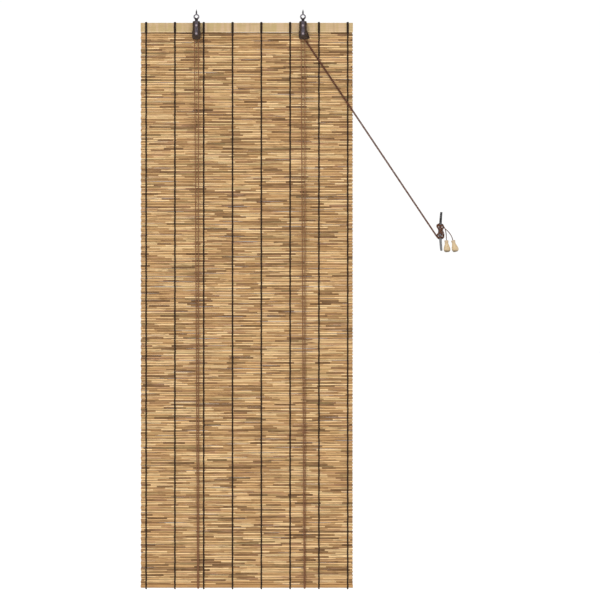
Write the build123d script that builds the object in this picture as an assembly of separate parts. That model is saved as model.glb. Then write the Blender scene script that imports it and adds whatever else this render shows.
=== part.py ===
from build123d import *
import math
import os

# Reed roll-up blind, hung by two screw eyes, with its lift cords belayed on a wall cleat.
# Millimetres. +X is to the right seen from the room, -Y is towards the room, +Z is up.
# The origin lies midway between the two hanging screws, where their shanks meet the rings.

os.makedirs("parts", exist_ok=True)

# --- driving dimensions ---------------------------------------------------------------
BLIND_WIDTH = 600.0
BLIND_LEFT = -308.4
BLIND_RIGHT = BLIND_LEFT + BLIND_WIDTH
MAT_Y = 10.2  # middle plane of the reeds

BATTEN_TOP = -24.3
BATTEN_HEIGHT = 27.0
BATTEN_THICKNESS = 5.0
BATTEN_EDGE_RADIUS = 1.6
BATTEN_BOTTOM = BATTEN_TOP - BATTEN_HEIGHT
BATTEN_FRONT = MAT_Y - BATTEN_THICKNESS / 2
BATTEN_BACK = MAT_Y + BATTEN_THICKNESS / 2

ROD_RADIUS = 5.0
ROD_Z = -1617.0

REED_RADIUS = 2.25
REED_SPREAD = 0.2  # how much thicker or thinner a reed may be
REED_END_PLAY = 1.6  # how uneven the cut ends are
REED_FIRST_Z = -54.5
REED_LAST_Z = -1607.5
REED_COURSES = 10
REEDS_PER_COURSE = 33

WARP_COUNT = 8
WARP_MARGIN = 15.5
WARP_PITCH = 81.4
WARP_WIDTH = 3.0
WARP_DEPTH = 1.2
WARP_GAP = 2.5  # from the mat's middle plane to the inside of a warp strand
WRAP_WIDTH = 6.2
WRAP_DEPTH = 2.2
WRAP_TOP = 3.0
WRAP_BOTTOM = 0.8  # pressed flat between the batten and the first reed
WRAP_PLAY = 0.1
KNOT_RADIUS = 2.8

BLOCK_X = 150.4  # each pulley block's distance from the middle
CLAMP_Z = -33.4
AXLE_Z = -56.3
RIVET_RADIUS = 2.0
RIVET_HEAD_RADIUS = 3.2
RIVET_HEAD_HEIGHT = 1.6
RUNNING_CLEARANCE = 0.05
SHEET = 1.0  # thickness of the pressed steel
BLOCK_GAP = 5.4  # between the two cheeks
CHEEK_INSIDE = BLOCK_GAP / 2
CHEEK_OUTSIDE = CHEEK_INSIDE + SHEET
COLLAR_RADIUS = 4.5
SPACER_RADIUS = 3.4
CHEEK_HALF = 10.6
CHEEK_LOWER_HALF = 12.0
CHEEK_BOTTOM = -72.0

WHEEL_RADIUS = 8.0
WHEEL_WIDTH = 5.0
WHEEL_PITCH_RADIUS = 5.4
GROOVE_RADIUS = 1.4

EYE_RING_RADIUS = 6.5
EYE_WIRE_RADIUS = 2.0
EYE_Z = -8.6
EYE_NECK_RADIUS = 2.4
EYE_SHANK_RADIUS = 2.2
EYE_SHANK_TOP = 4.0
EYE_TIP = 12.5

STRAP_WIDTH = 8.6
STRAP_OUTSIDE = CHEEK_OUTSIDE + SHEET
STRAP_SHOULDER = -19.55  # where it spreads over the cheeks' tops
STRAP_FRONT_END = -61.0
STRAP_REAR_END = -39.0

CORD_RADIUS = 1.25
CORD_PAIR_STEP = 2.6  # centre to centre of two cords that lie together
ROD_WRAP = ROD_RADIUS + CORD_RADIUS + 0.05

REAR_EYE_Z = -40.0
REAR_EYE_RING = 4.2
REAR_EYE_WIRE = 0.9
REAR_EYE_Y = BATTEN_BACK + 5.4
REAR_EYE_SHANK = 1.1
REAR_EYE_DEPTH = 4.0

REAR_EYE_X = {"left": -BLOCK_X + 3.9, "right": BLOCK_X + 10.1}  # the left one turns the running cord

EYELET_X = 146.0
EYELET_Z = -45.5
EYELET_BORE = 2.9
EYELET_WALL = 0.7
EYELET_FLANGE = 4.6
EYELET_FLANGE_THICKNESS = 0.5

CORD_FRONT_Y = 5.5  # the cords' plane between the right block and the batten
GUIDE_TURN = (154.9, -70.4)  # x and z where the cord pair turns at the guide pin
GUIDE_PIN_RADIUS = 1.5

WALL_Y = 24.0
CLEAT_X = 538.5
CLEAT_Z = -614.5
CLEAT_HALF = 54.8
CLEAT_BAR = 7.4
CLEAT_BASE_WIDTH = 11.0
CLEAT_BASE_HALF = 13.5
CLEAT_SCREW_OFFSET = 8.0
CLEAT_SCREW_RADIUS = 1.75
CLEAT_SHANK_RADIUS = 2.0  # the plain part, in the cleat
CLEAT_SCREW_LENGTH = 18.0

WINDING_HALF_X = 11.2
WINDING_HALF_Y = 7.2
WINDING_HALF_Z = 23.0

TASSEL_HEIGHT = 33.5
TASSEL_BORE = 1.45
TASSEL_RECESS = 12.0
TASSEL_RECESS_RADIUS = 4.0
TASSEL_KNOT_RADIUS = 3.0

STEEL_DARK = Color(0.20, 0.17, 0.15)
STEEL_BRIGHT = Color(0.62, 0.62, 0.64)
BAMBOO = Color(0.78, 0.66, 0.44)
REED = Color(0.70, 0.53, 0.34)
YARN = Color(0.05, 0.04, 0.04)
CORD = Color(0.42, 0.20, 0.10)
PALE_WOOD = Color(0.85, 0.75, 0.58)


# --- helpers ------------------------------------------------------------------------
def save(name, shape, color):
    """Writes one sub-part to parts/."""
    shape.label = name
    shape.color = color
    export_step(shape, f"parts/{name}.step")


def slab(sketch, y_front, y_back):
    """A sketch drawn in x and z, made solid from y_front to y_back."""
    plane = Plane(origin=(0, y_back, 0), x_dir=(1, 0, 0), z_dir=(0, -1, 0))
    return extrude(plane * sketch, amount=y_back - y_front)


def disc(x, z, radius, y_front, y_back):
    """A round bar along Y."""
    return slab(Pos(x, z) * Circle(radius), y_front, y_back)


def tube(points, radii):
    """A cord of straight runs joined by tangent arcs."""
    path = FilletPolyline(*points, radius=radii) if radii else Line(*points)
    start = Plane(origin=path @ 0, z_dir=path % 0)
    solid = sweep(start * Circle(CORD_RADIUS), path=path)
    expected = math.pi * CORD_RADIUS**2 * path.length
    print(f"  cord length {path.length:.1f}, volume against section {solid.volume / expected:.4f}")
    return solid, path.length


def soft_radii(points):
    """For each corner, the largest arc that its two runs allow."""
    radii = []
    for before, corner, after in zip(points, points[1:], points[2:]):
        run_in = Vector(*corner) - Vector(*before)
        run_out = Vector(*after) - Vector(*corner)
        half_turn = math.radians(run_in.get_angle(run_out)) / 2
        radii.append(0.45 * min(run_in.length, run_out.length) / math.tan(half_turn))
    print("  radii", [round(radius, 1) for radius in radii])
    return radii


def along(start, direction, distance):
    """The point at a distance from start in a direction."""
    return tuple(s + d * distance for s, d in zip(start, direction))


# --- hanging hardware ------------------------------------------------------------------
def screw_eye(x):
    """Ring and pointed wood-screw shank, bent from one wire."""
    ring = Pos(x, 0, EYE_Z) * Rot(90, 0, 0) * Torus(EYE_RING_RADIUS, EYE_WIRE_RADIUS)
    foot = EYE_Z + EYE_RING_RADIUS
    neck = Pos(x, 0, foot) * extrude(Circle(EYE_NECK_RADIUS), amount=-foot)
    shank = Pos(x, 0, 0) * extrude(Circle(EYE_SHANK_RADIUS), amount=EYE_SHANK_TOP)
    tip_height = EYE_TIP - EYE_SHANK_TOP
    tip = Pos(x, 0, EYE_SHANK_TOP + tip_height / 2) * Cone(EYE_SHANK_RADIUS, 0.25, tip_height)
    return ring + neck + shank + tip


def hanger_strap(x):
    """Strip folded over the ring's wire, its two legs flat on the outsides of the cheeks."""
    seat = EYE_WIRE_RADIUS + RUNNING_CLEARANCE
    wire_z = EYE_Z - EYE_RING_RADIUS
    inside_ring = disc(x, EYE_Z, EYE_RING_RADIUS, -10, 10)
    shell = Torus(EYE_RING_RADIUS, seat + SHEET) - Torus(EYE_RING_RADIUS, seat)
    strap = inside_ring & (Pos(x, 0, EYE_Z) * Rot(90, 0, 0) * shell)
    strap &= Pos(x, 0, wire_z + 1) * Box(STRAP_WIDTH, 20, 9)
    for way, leg_end in ((-1, STRAP_FRONT_END), (1, STRAP_REAR_END)):
        strap += strap_run(x, way, seat, seat + SHEET, wire_z + 4, STRAP_SHOULDER) - inside_ring
        strap += strap_run(x, way, seat, STRAP_OUTSIDE, STRAP_SHOULDER, STRAP_SHOULDER - SHEET)
        strap += strap_run(x, way, CHEEK_OUTSIDE, STRAP_OUTSIDE, STRAP_SHOULDER, leg_end)
    for z in (CLAMP_Z, AXLE_Z):
        strap -= disc(x, z, RIVET_RADIUS + RUNNING_CLEARANCE, -5, 5)
    return strap


def strap_run(x, way, y_inner, y_outer, z_top, z_bottom):
    """One flat length of the strap, on the front (-1) or the rear (1)."""
    y_front, y_back = sorted((way * y_inner, way * y_outer))
    return slab(Pos(x, (z_top + z_bottom) / 2) * Rectangle(STRAP_WIDTH, z_top - z_bottom), y_front, y_back)


def cheek_outline():
    """Half-shouldered plate, a little wider round the wheel."""
    right = [
        (4.8, -20.6),
        (9.2, -21.3),
        (CHEEK_HALF, -23.4),
        (CHEEK_HALF, -45.5),
        (CHEEK_LOWER_HALF, -51.0),
        (CHEEK_LOWER_HALF, -66.5),
        (10.4, -70.2),
        (6.0, CHEEK_BOTTOM),
    ]
    left = [(-x, z) for x, z in reversed(right)]
    return make_face(Polyline(*right, *left, close=True))


def wing_outline():
    """The right block's rear cheek flares outwards below the batten."""
    corners = [(6, -44.5), (11.2, -46.0), (19.2, -68.4), (17.9, -70.2), (6, -71.5)]
    return make_face(Polyline(*corners, close=True))


def cheek(x, y_front, winged=False):
    """Pressed plate with holes for the clamp rivet and the axle."""
    outline = cheek_outline()
    if winged:
        outline += wing_outline()
    plate = slab(Pos(x, 0) * outline, y_front, y_front + SHEET)
    for z in (CLAMP_Z, AXLE_Z):
        plate -= disc(x, z, RIVET_RADIUS + RUNNING_CLEARANCE, y_front - 1, y_front + SHEET + 1)
    return plate


def rivet(x, z, y_end, tail_radius, tail_height):
    """Domed head towards the room, shank, and a flat closed tail."""
    head = Pos(x, -STRAP_OUTSIDE, z) * Rot(90, 0, 0) * Cylinder(
        RIVET_HEAD_RADIUS, RIVET_HEAD_HEIGHT, align=(Align.CENTER, Align.CENTER, Align.MIN)
    )
    head = fillet(head.edges().sort_by(Axis.Y)[0], RIVET_HEAD_HEIGHT * 0.8)
    shank = disc(x, z, RIVET_RADIUS, -STRAP_OUTSIDE, y_end)
    tail = disc(x, z, tail_radius, y_end, y_end + tail_height)
    return head + shank + tail


def sleeve(x, z, outer, inner, y_front, y_back):
    """Round collar, washer or spacer along Y."""
    return disc(x, z, outer, y_front, y_back) - disc(x, z, inner, y_front - 1, y_back + 1)


def pulley_wheel(x):
    """Grooved wheel that turns on the axle rivet."""
    half = WHEEL_WIDTH / 2
    bore = RIVET_RADIUS + RUNNING_CLEARANCE
    rim = half - 0.4
    profile = Polyline(
        (WHEEL_PITCH_RADIUS, GROOVE_RADIUS), (WHEEL_RADIUS, rim), (WHEEL_RADIUS, half),
        (bore, half), (bore, -half), (WHEEL_RADIUS, -half), (WHEEL_RADIUS, -rim),
        (WHEEL_PITCH_RADIUS, -GROOVE_RADIUS),
    )
    groove = ThreePointArc(
        (WHEEL_PITCH_RADIUS, -GROOVE_RADIUS),
        (WHEEL_PITCH_RADIUS - GROOVE_RADIUS, 0),
        (WHEEL_PITCH_RADIUS, GROOVE_RADIUS),
    )
    wheel = revolve(make_face(profile + groove), axis=Axis.Y)
    return Pos(x, 0, AXLE_Z) * wheel


def make_block(side, x):
    """One pulley block with its screw eye, in order from the front."""
    winged = side == "right"
    save(f"screw_eye_{side}", screw_eye(x), STEEL_BRIGHT)
    save(f"hanger_strap_{side}", hanger_strap(x), STEEL_DARK)
    save(f"front_cheek_{side}", cheek(x, -CHEEK_OUTSIDE), STEEL_DARK)
    save(f"rear_cheek_{side}", cheek(x, CHEEK_INSIDE, winged), STEEL_DARK)
    hole = RIVET_RADIUS + RUNNING_CLEARANCE
    spacer = sleeve(x, CLAMP_Z, SPACER_RADIUS, hole, -CHEEK_INSIDE, CHEEK_INSIDE)
    save(f"strap_spacer_{side}", spacer, STEEL_BRIGHT)
    collar = sleeve(x, CLAMP_Z, COLLAR_RADIUS, hole, STRAP_OUTSIDE, BATTEN_FRONT)
    save(f"standoff_collar_{side}", collar, STEEL_BRIGHT)
    washer = sleeve(x, CLAMP_Z, COLLAR_RADIUS, hole, BATTEN_BACK, BATTEN_BACK + 0.8)
    save(f"rivet_washer_{side}", washer, STEEL_BRIGHT)
    save(f"clamp_rivet_{side}", rivet(x, CLAMP_Z, BATTEN_BACK + 0.8, 3.0, 1.0), STEEL_BRIGHT)
    save(f"axle_rivet_{side}", rivet(x, AXLE_Z, CHEEK_OUTSIDE, 3.0, 0.4), STEEL_BRIGHT)
    save(f"pulley_wheel_{side}", pulley_wheel(x), STEEL_BRIGHT)


# --- batten, rod and reeds ---------------------------------------------------------------
def top_batten():
    """Flat bamboo slat with its rivet holes, eyelet hole and pilot holes."""
    middle_x = (BLIND_LEFT + BLIND_RIGHT) / 2
    middle_z = BATTEN_TOP - BATTEN_HEIGHT / 2
    batten = Pos(middle_x, MAT_Y, middle_z) * Box(BLIND_WIDTH, BATTEN_THICKNESS, BATTEN_HEIGHT)
    batten = fillet(batten.edges().filter_by(Axis.X), BATTEN_EDGE_RADIUS)
    for x in (-BLOCK_X, BLOCK_X):
        batten -= disc(x, CLAMP_Z, RIVET_RADIUS + RUNNING_CLEARANCE, 0, 20)
    batten -= disc(EYELET_X, EYELET_Z, EYELET_BORE + EYELET_WALL + RUNNING_CLEARANCE, 0, 20)
    pilot_front = BATTEN_BACK - REAR_EYE_DEPTH - 0.2
    for side in ("left", "right"):
        pilot = REAR_EYE_SHANK + RUNNING_CLEARANCE
        batten -= disc(REAR_EYE_X[side], REAR_EYE_Z, pilot, pilot_front, 20)
    return batten


def reed(index, z):
    """One stem. Stems differ a little in thickness and in where they are cut."""
    radius = REED_RADIUS + REED_SPREAD * math.sin(2.4 * index)
    left = BLIND_LEFT + REED_END_PLAY * (0.5 + 0.5 * math.sin(1.7 * index))
    right = BLIND_RIGHT - REED_END_PLAY * (0.5 + 0.5 * math.sin(2.9 * index + 1))
    across = Plane(origin=(left, MAT_Y, z), x_dir=(0, 1, 0), z_dir=(1, 0, 0))
    return extrude(across * Circle(radius), amount=right - left)


def make_reeds():
    """The mat's stems, in courses from the top."""
    total = REED_COURSES * REEDS_PER_COURSE
    pitch = (REED_FIRST_Z - REED_LAST_Z) / (total - 1)
    for course in range(REED_COURSES):
        first = course * REEDS_PER_COURSE
        numbers = range(first, first + REEDS_PER_COURSE)
        stems = [reed(number, REED_FIRST_Z - number * pitch) for number in numbers]
        save(f"reeds_{course + 1:02d}", Compound(children=stems), REED)


def bottom_rod():
    """Thicker stick that weights the mat's lower edge."""
    across = Plane(origin=(BLIND_LEFT, MAT_Y, ROD_Z), x_dir=(0, 1, 0), z_dir=(1, 0, 0))
    rod = extrude(across * Circle(ROD_RADIUS), amount=BLIND_WIDTH)
    return chamfer(rod.edges(), 0.5)


def warp_cord(x):
    """Black yarn: looped over the batten, down both faces of the mat, tied under the rod."""
    side = Plane(origin=(x - WRAP_WIDTH / 2, 0, 0), x_dir=(0, 1, 0), z_dir=(1, 0, 0))
    inner_y = BATTEN_THICKNESS + 2 * WRAP_PLAY
    inner_z = BATTEN_HEIGHT + 2 * WRAP_PLAY
    batten_middle = BATTEN_TOP - BATTEN_HEIGHT / 2
    outer_middle = batten_middle + (WRAP_TOP - WRAP_BOTTOM) / 2
    outer = Pos(MAT_Y, outer_middle) * RectangleRounded(
        inner_y + 2 * WRAP_DEPTH, inner_z + WRAP_TOP + WRAP_BOTTOM, 3.0
    )
    inner = Pos(MAT_Y, batten_middle) * RectangleRounded(inner_y, inner_z, BATTEN_EDGE_RADIUS)
    loop = extrude(side * (outer - inner), amount=WRAP_WIDTH)
    strand_top = batten_middle - inner_z / 2
    strand_height = strand_top - ROD_Z
    strand_middle = (strand_top + ROD_Z) / 2
    cord = loop
    for way in (-1, 1):
        middle_y = MAT_Y + way * (WARP_GAP + WARP_DEPTH / 2)
        cord += Pos(x, middle_y, strand_middle) * Box(WARP_WIDTH, WARP_DEPTH, strand_height)
    rod_side = Plane(origin=(x - 2, 0, 0), x_dir=(0, 1, 0), z_dir=(1, 0, 0))
    hoop = Pos(MAT_Y, ROD_Z) * (Circle(ROD_RADIUS + 1.9) - Circle(ROD_RADIUS + WRAP_PLAY))
    cord += extrude(rod_side * hoop, amount=4)
    cord += Pos(x, MAT_Y, ROD_Z - ROD_RADIUS - 1.3) * Sphere(KNOT_RADIUS)
    across = Plane(origin=(x - 10, MAT_Y, ROD_Z), x_dir=(0, 1, 0), z_dir=(1, 0, 0))
    return cord - extrude(across * Circle(ROD_RADIUS + WRAP_PLAY), amount=20)


# --- lift cords ---------------------------------------------------------------------------
PULL_START = (GUIDE_TURN[0], CORD_FRONT_Y, GUIDE_TURN[1])
PULL_END = (CLEAT_X - 10.2, 0.4, CLEAT_Z - 14.3)
PULL_LENGTH = math.dist(PULL_START, PULL_END)
PULL_DIRECTION = tuple((b - a) / PULL_LENGTH for a, b in zip(PULL_START, PULL_END))
DROP_DIRECTION = (GUIDE_TURN[0] - EYELET_X, 0, GUIDE_TURN[1] - EYELET_Z)
EXIT_DISTANCE = 8.0
PAIR_SIDE = {"left": -1, "right": 1}  # which side of the pair each cord keeps to
FEET = {"left": (3.2, 5.9), "right": (5.9, 3.2)}  # tied and running strand, from the block's middle


def beside(point, direction, sign):
    """The point one half step sideways, for a cord of a pair that runs in a direction."""
    length = math.hypot(direction[0], direction[2])
    step = sign * CORD_PAIR_STEP / 2
    return (point[0] - direction[2] / length * step, point[1], point[2] + direction[0] / length * step)


def pull_points(side):
    """Where one cord turns at the guide pin, where it leaves the hardware, and where it is wound in."""
    turn = beside(PULL_START, PULL_DIRECTION, PAIR_SIDE[side])
    end = beside(PULL_END, PULL_DIRECTION, PAIR_SIDE[side])
    return turn, along(turn, PULL_DIRECTION, EXIT_DISTANCE), end


def tie_x(side):
    """The cord's end is tied to the left-hand wire of the rear eye."""
    return REAR_EYE_X[side] - REAR_EYE_RING


def lift_cord(side):
    """Tied end, under the rod, over the wheel, under the rod again, and through the eyelet."""
    block = PAIR_SIDE[side] * BLOCK_X
    climb = PAIR_SIDE[side] * WHEEL_PITCH_RADIUS
    tied, running = (block + foot for foot in FEET[side])
    front_y = MAT_Y - ROD_WRAP
    back_y = MAT_Y + ROD_WRAP
    under_z = ROD_Z - ROD_WRAP
    wheel_top = AXLE_Z + WHEEL_PITCH_RADIUS
    bore = beside((EYELET_X, back_y, EYELET_Z), DROP_DIRECTION, PAIR_SIDE[side])
    turn, exit_point, _ = pull_points(side)
    points = [
        (tie_x(side), REAR_EYE_Y, REAR_EYE_Z - 5.0),
        (tied, back_y, under_z),
        (tied, front_y, under_z),
        (block + climb, 0, wheel_top),
        (block - climb, 0, wheel_top),
        (running, front_y, under_z),
        (running, back_y, under_z),
    ]
    radii = [ROD_WRAP - 0.1] * 2 + [WHEEL_PITCH_RADIUS - 0.05] * 2 + [ROD_WRAP - 0.1] * 2
    if side == "left":
        wire_wrap = REAR_EYE_WIRE + CORD_RADIUS + RUNNING_CLEARANCE
        points.append((running, REAR_EYE_Y, REAR_EYE_Z + wire_wrap))
        radii.append(wire_wrap)
    points += [bore, (bore[0], CORD_FRONT_Y, bore[2]), turn, exit_point]
    pin_wrap = GUIDE_PIN_RADIUS + 0.1 + CORD_RADIUS
    radii += [3.0, 3.0, pin_wrap if side == "right" else pin_wrap + CORD_PAIR_STEP]
    return tube(points, radii)


def cord_tie(side):
    """Loop round the rear eye's wire, drawn up in a knot."""
    x = tie_x(side)
    loop = Pos(x, REAR_EYE_Y, REAR_EYE_Z) * Rot(90, 0, 0) * Torus(2.4, CORD_RADIUS)
    knot = Pos(x, REAR_EYE_Y, REAR_EYE_Z - 4.4) * Sphere(KNOT_RADIUS)
    return loop + knot


def rear_eye(side):
    """Small screw eye in the batten's back, its ring level."""
    x = REAR_EYE_X[side]
    ring = Pos(x, REAR_EYE_Y, REAR_EYE_Z) * Torus(REAR_EYE_RING, REAR_EYE_WIRE)
    shank = disc(x, REAR_EYE_Z, REAR_EYE_SHANK, BATTEN_BACK - REAR_EYE_DEPTH, REAR_EYE_Y - REAR_EYE_RING)
    return ring + shank


def cord_eyelet():
    """Flanged tube through the batten, for both running cords."""
    outer = EYELET_BORE + EYELET_WALL
    front = BATTEN_FRONT - EYELET_FLANGE_THICKNESS
    back = BATTEN_BACK + EYELET_FLANGE_THICKNESS
    eyelet = disc(EYELET_X, EYELET_Z, outer, front, back)
    eyelet += disc(EYELET_X, EYELET_Z, EYELET_FLANGE, front, BATTEN_FRONT)
    eyelet += disc(EYELET_X, EYELET_Z, EYELET_FLANGE, BATTEN_BACK, back)
    eyelet -= disc(EYELET_X, EYELET_Z, EYELET_BORE, front - 1, back + 1)
    circles = eyelet.edges().filter_by(GeomType.CIRCLE)
    lips = circles.filter_by(lambda edge: abs(edge.radius - EYELET_BORE) < 0.01)
    return fillet(lips, 0.45)


def guide_pin():
    """Round post on the right rear cheek that the cord pair bears on."""
    inward = (PULL_DIRECTION[0] + 0.337, PULL_DIRECTION[2] - 0.9415)
    length = math.hypot(*inward)
    reach = CORD_PAIR_STEP / 2 + CORD_RADIUS + 0.12 + GUIDE_PIN_RADIUS
    x = GUIDE_TURN[0] - inward[1] / length * reach
    z = GUIDE_TURN[1] + inward[0] / length * reach
    return disc(x, z, GUIDE_PIN_RADIUS, CHEEK_OUTSIDE, CORD_FRONT_Y + CORD_RADIUS + 0.4)


# --- cleat, winding and tassels --------------------------------------------------------------
def cleat():
    """Cast bar with two horns on a base against the wall, drilled for two screws."""
    straight = 13.0
    sections = [
        (straight, 0.0, 0.0, CLEAT_BAR, CLEAT_BAR),
        (34.0, 0.7, -1.2, 7.0, 6.2),
        (CLEAT_HALF, 2.4, -4.2, 6.2, 5.0),
    ]
    middle = extrude(RectangleRounded(CLEAT_BAR, CLEAT_BAR, 1.6), straight, both=True)
    body = Pos(CLEAT_X, 0, CLEAT_Z) * middle
    for way in (-1, 1):
        faces = []
        for height, lean, forward, width, depth in sections:
            place = Pos(CLEAT_X + lean, forward, CLEAT_Z + way * height)
            faces.append(place * RectangleRounded(width, depth, depth * 0.3))
        horn = loft(faces)
        tip = horn.faces().sort_by(Axis.Z)[0 if way < 0 else -1]
        body += fillet(tip.edges(), 1.1)
    foot_face = RectangleRounded(CLEAT_BASE_WIDTH, 2 * CLEAT_BASE_HALF, 4)
    foot = slab(Pos(CLEAT_X, CLEAT_Z) * foot_face, WALL_Y - 4, WALL_Y)
    neck = slab(Pos(CLEAT_X, CLEAT_Z) * RectangleRounded(9.0, 23.0, 3), 1.0, WALL_Y - 4)
    body += foot + neck
    for way in (-1, 1):
        z = CLEAT_Z + way * CLEAT_SCREW_OFFSET
        body -= disc(CLEAT_X, z, CLEAT_SHANK_RADIUS + 0.15, -10, WALL_Y + 1)
    return body


def cleat_screws():
    """Two pan-head wood screws, their points beyond the wall's face."""
    screws = []
    for way in (-1, 1):
        z = CLEAT_Z + way * CLEAT_SCREW_OFFSET
        front = -CLEAT_BAR / 2
        head = disc(CLEAT_X, z, 3.0, front - 1.5, front)
        head = fillet(head.edges().sort_by(Axis.Y)[0], 1.0)
        slot = Pos(CLEAT_X, front - 1.5, z) * Box(4.4, 1.4, 0.7)
        slot += Pos(CLEAT_X, front - 1.5, z) * Box(0.7, 1.4, 4.4)
        shank_end = WALL_Y + CLEAT_SCREW_LENGTH - 6
        shank = disc(CLEAT_X, z, CLEAT_SHANK_RADIUS, front, WALL_Y)
        shank += disc(CLEAT_X, z, CLEAT_SCREW_RADIUS, WALL_Y, shank_end)
        point = Pos(CLEAT_X, shank_end + 3, z) * Rot(-90, 0, 0) * Cone(CLEAT_SCREW_RADIUS, 0.2, 6)
        screws.append(head - slot + shank + point)
    return Compound(children=screws)


def cord_winding():
    """Outer shape of the turns round the cleat, open where the cleat passes."""
    block = Pos(CLEAT_X, 0, CLEAT_Z) * Box(2 * WINDING_HALF_X, 2 * WINDING_HALF_Y, 2 * WINDING_HALF_Z)
    block = fillet(block.edges().filter_by(Axis.Y), 9.0)
    block = fillet(block.faces().sort_by(Axis.Y)[0].edges() + block.faces().sort_by(Axis.Y)[-1].edges(), 1.8)
    bar_space = Pos(CLEAT_X, -0.6, CLEAT_Z) * Box(8.0, 9.2, 4 * WINDING_HALF_Z)
    base_space = Pos(CLEAT_X, 6.0, CLEAT_Z) * Box(9.8, 12.0, 23.8)
    return block - bar_space - base_space


TAILS = {
    "left": {
        "route": [
            (10.2, 1.6, 14.0), (13.6, 1.4, 6.5), (15.8, 0.2, -3.5),
            (16.5, -1.0, -14.0), (16.7, -1.4, -25.0),
        ],
        "tilt": 4.0,
    },
    "right": {
        "route": [
            (10.2, -1.8, 9.6), (17.6, -2.4, 4.0), (25.0, -3.0, -3.8),
            (31.2, -3.2, -13.6), (35.2, -3.4, -25.0),
        ],
        "tilt": 14.0,
    },
}


def tail_points(side):
    """The cord from the winding down to the top of its tassel, and on to the knot inside."""
    route = [(CLEAT_X + x, y, CLEAT_Z + z) for x, y, z in TAILS[side]["route"]]
    return route + [along(route[-1], tassel_axis(side), TASSEL_HEIGHT - TASSEL_RECESS + 0.4)]


def tassel_axis(side):
    """Unit vector down the tassel's middle."""
    tilt = math.radians(TAILS[side]["tilt"])
    return (math.sin(tilt), 0, -math.cos(tilt))


def tassel_frame(side):
    """Plane at the tassel's top with its z axis up the tassel."""
    axis = tassel_axis(side)
    return Plane(origin=tail_points(side)[-2], x_dir=(0, 1, 0), z_dir=tuple(-a for a in axis))


def tassel(side):
    """Turned wooden bell, drilled for the cord and hollowed for its knot."""
    outline = Spline(
        (5.2, 0.0), (5.8, -1.6), (5.1, -6.5), (6.2, -13.0),
        (8.6, -20.0), (9.6, -25.4), (8.6, -30.2), (5.0, -TASSEL_HEIGHT),
    )
    walls = Polyline(
        (5.0, -TASSEL_HEIGHT), (TASSEL_RECESS_RADIUS, -TASSEL_HEIGHT),
        (TASSEL_RECESS_RADIUS, TASSEL_RECESS - TASSEL_HEIGHT), (TASSEL_BORE, TASSEL_RECESS - TASSEL_HEIGHT),
        (TASSEL_BORE, 0), (5.2, 0),
    )
    profile = Plane.XZ * make_face(outline + walls)
    return tassel_frame(side) * revolve(profile, axis=Axis.Z)


def tassel_knot(side):
    """Stopper knot in the tassel's hollow, flat where the cord runs into it."""
    depth = TASSEL_HEIGHT - TASSEL_RECESS + 0.4
    knot = Pos(0, 0, -depth - 2.4) * Sphere(TASSEL_KNOT_RADIUS)
    knot -= Pos(0, 0, -depth + 5) * Box(10, 10, 10)
    return tassel_frame(side) * knot


def main():
    for side, x in (("left", -BLOCK_X), ("right", BLOCK_X)):
        make_block(side, x)
    save("top_batten", top_batten(), BAMBOO)
    save("bottom_rod", bottom_rod(), BAMBOO)
    make_reeds()
    for number in range(WARP_COUNT):
        save(f"warp_cord_{number + 1}", warp_cord(BLIND_LEFT + WARP_MARGIN + number * WARP_PITCH), YARN)
    save("cord_eyelet", cord_eyelet(), STEEL_BRIGHT)
    save("guide_pin", guide_pin(), STEEL_DARK)
    save("cleat", cleat(), STEEL_BRIGHT)
    save("cleat_screws", cleat_screws(), STEEL_BRIGHT)
    winding = cord_winding()
    save("cord_winding", winding, CORD)
    for side in ("left", "right"):
        print(side)
        tie = cord_tie(side)
        save(f"cord_tie_{side}", tie, CORD)
        save(f"rear_eye_{side}", rear_eye(side), STEEL_BRIGHT)
        held, _ = lift_cord(side)
        save(f"lift_cord_{side}", held - tie, CORD)
        _, exit_point, end = pull_points(side)
        free, _ = tube([exit_point, end], None)
        save(f"pull_cord_{side}", free - winding, CORD)
        route = tail_points(side)
        tail, _ = tube(route, soft_radii(route))
        save(f"cord_tail_{side}", tail - winding, CORD)
        save(f"tassel_{side}", tassel(side), PALE_WOOD)
        save(f"tassel_knot_{side}", tassel_knot(side), CORD)


main()
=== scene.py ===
import math
import random

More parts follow.
